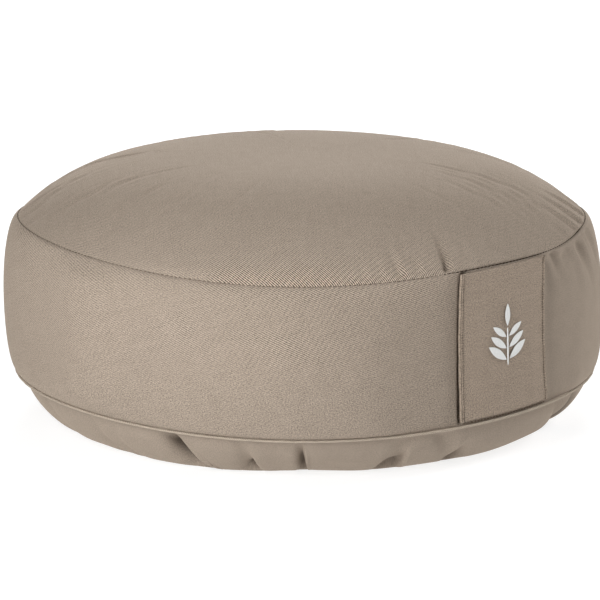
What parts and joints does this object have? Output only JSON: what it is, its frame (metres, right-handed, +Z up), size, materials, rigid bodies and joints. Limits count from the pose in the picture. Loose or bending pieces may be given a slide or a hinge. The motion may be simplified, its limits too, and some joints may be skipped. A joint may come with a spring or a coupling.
{
  "type": "zafu meditation cushion",
  "caption": "Round, firm sitting cushion with a high crown, a straight side band, a welted lower seam and a flat carrying strip on the side.",
  "frame": {"origin": "on the floor, under the middle of the cushion", "axes": "+Z up; -Y is the front, towards the camera; the handle strip is 42 degrees from -Y towards +X"},
  "size_m": [0.3438, 0.3436, 0.15],
  "materials": {
    "greige_twill": "matt cotton twill, greige",
    "greige_strip_twill": "matt cotton twill, greige, a shade darker",
    "greige_welt_twill": "matt cotton twill, greige, folded edge",
    "white_thread": "white satin-stitch thread"
  },
  "bodies": {
    "root": {"cushion": "greige_twill", "handle_strip": "greige_strip_twill", "welt": "greige_welt_twill", "motif_stem": "white_thread", "motif_leaf_1": "white_thread", "motif_leaf_2": "white_thread", "motif_leaf_3": "white_thread", "motif_leaf_4": "white_thread", "motif_leaf_5": "white_thread", "motif_leaf_6": "white_thread", "motif_leaf_7": "white_thread"}
  },
  "joints": []
}
